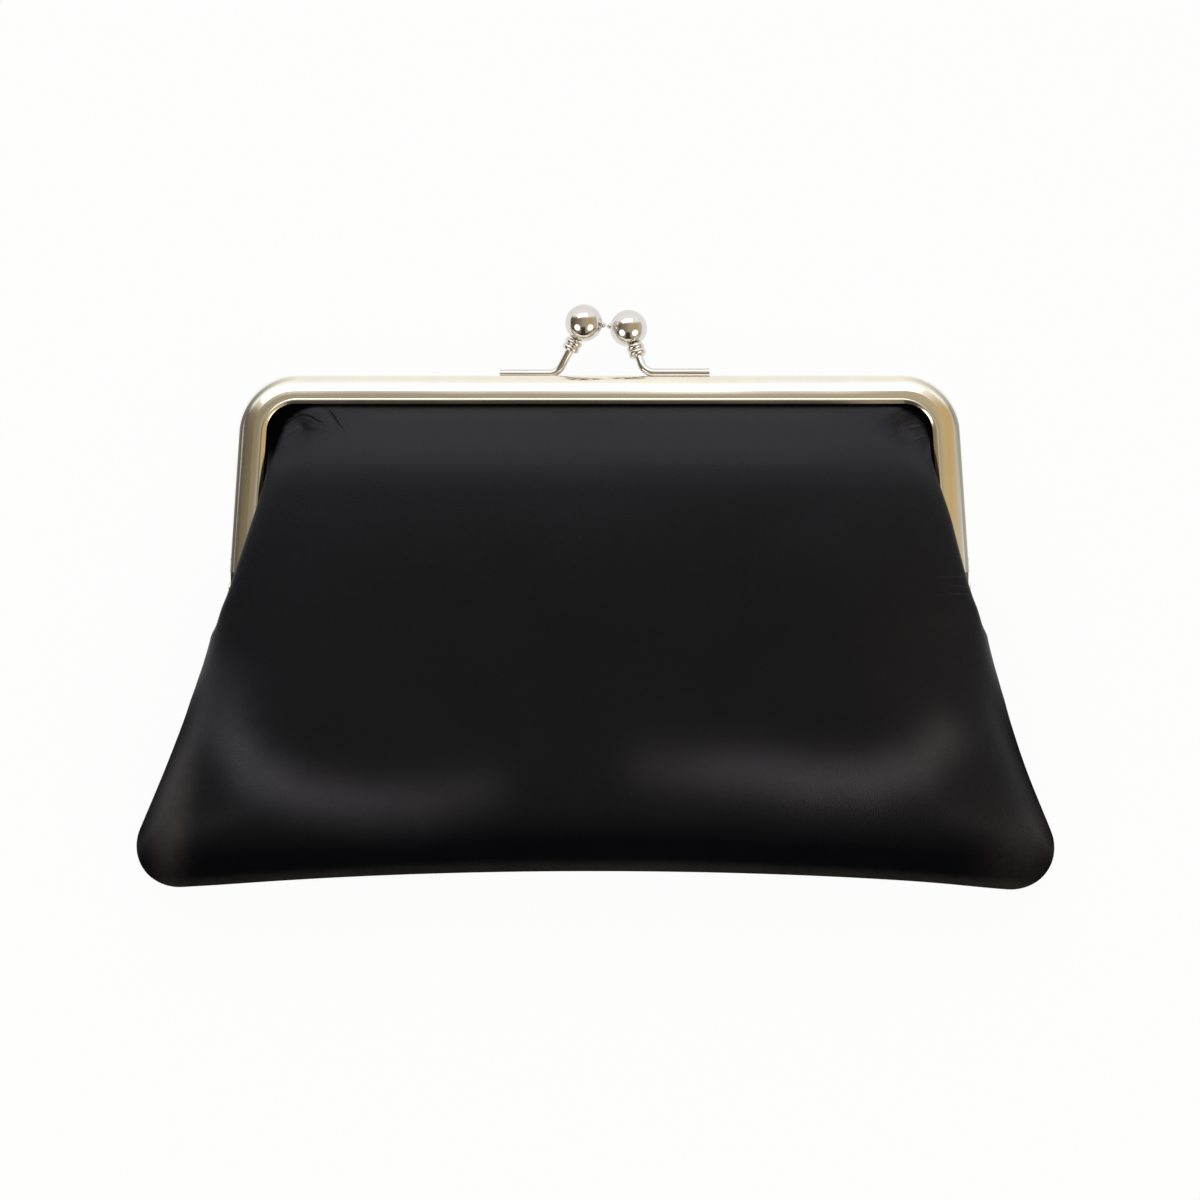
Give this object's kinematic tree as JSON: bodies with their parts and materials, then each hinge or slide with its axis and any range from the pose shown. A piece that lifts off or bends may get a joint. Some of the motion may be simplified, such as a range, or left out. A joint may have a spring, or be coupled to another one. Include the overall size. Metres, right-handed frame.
{
  "type": "kiss lock frame purse",
  "caption": "Closed black leather clutch purse with a flared pouch on a hinged pale gold channel frame and a kiss lock of two balls.",
  "frame": {"origin": "middle of the purse's box on the surface that it lies on", "axes": "+X along the rail to the right seen from the front, +Y in the panel's plane towards the lock, +Z out of the front panel"},
  "size_m": [0.193, 0.1224, 0.0245],
  "materials": {
    "gold_plate": "polished pale gold plate",
    "nickel_plate": "polished nickel plate",
    "black_leather": "smooth leather with a soft sheen",
    "lining_cloth": "plain twill",
    "paper_cord": "twisted kraft paper"
  },
  "bodies": {
    "rear_half": {"rear_frame": "gold_plate", "left_hinge_rivet": "gold_plate", "right_hinge_rivet": "gold_plate", "rear_lock_post": "nickel_plate", "rear_lock_ferrule": "nickel_plate", "rear_lock_ball": "nickel_plate", "rear_panel": "black_leather", "rear_lining": "lining_cloth", "rear_paper_cord": "paper_cord", "front_panel_lower": "black_leather", "front_panel_fold": "black_leather", "front_lining_lower": "lining_cloth", "front_lining_fold": "lining_cloth"},
    "front_half": {"front_frame": "gold_plate", "front_lock_post": "nickel_plate", "front_lock_ferrule": "nickel_plate", "front_lock_ball": "nickel_plate", "front_panel_upper": "black_leather", "front_lining_upper": "lining_cloth", "front_paper_cord": "paper_cord"}
  },
  "joints": [
    {"name": "frame_hinge", "type": "hinge", "parent": "rear_half", "child": "front_half", "pos_m": [0, 0.00124, 0.0065], "axis": [1, 0, 0], "range_deg": [0, 60], "deforming": ["front_panel_fold", "front_lining_fold"]}
  ]
}
